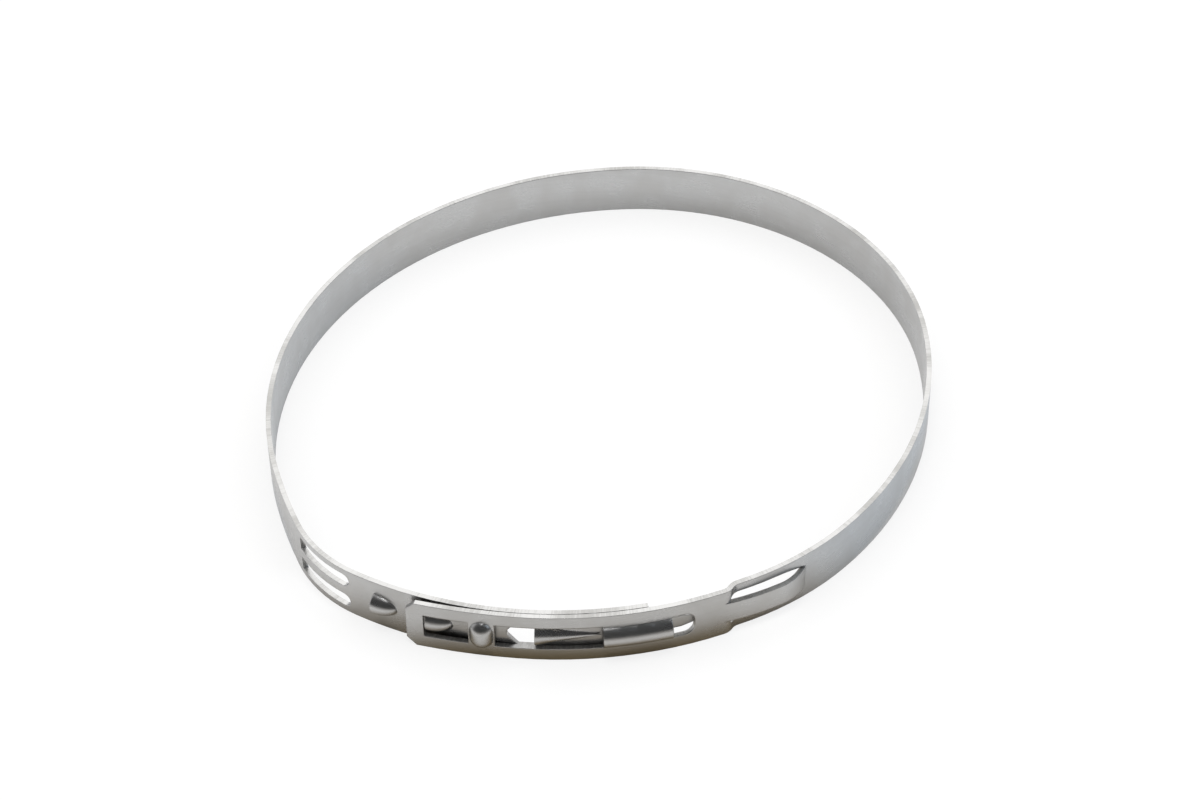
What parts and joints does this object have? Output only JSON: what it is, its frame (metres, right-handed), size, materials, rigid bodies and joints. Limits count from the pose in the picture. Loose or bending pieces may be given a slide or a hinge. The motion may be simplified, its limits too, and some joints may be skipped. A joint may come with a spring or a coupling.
{
  "type": "band clamp",
  "caption": "One-piece pressed steel band clamp: a flat strip rolled into a ring, hooked through windows in its overlapped head and not yet tightened.",
  "frame": {"origin": "middle of the ring's outer size, on the plane of the lower edge of the strip, on which it lies", "axes": "+Z across the width of the strip, along the hose's axis; the overlapped head is on the -Y side, and its free end points to -X"},
  "size_m": [0.109, 0.1121, 0.009],
  "materials": {
    "clamp_band": "satin stainless strip with bright sheared edges"
  },
  "bodies": {
    "root": {"clamp_band": "clamp_band"}
  },
  "joints": []
}
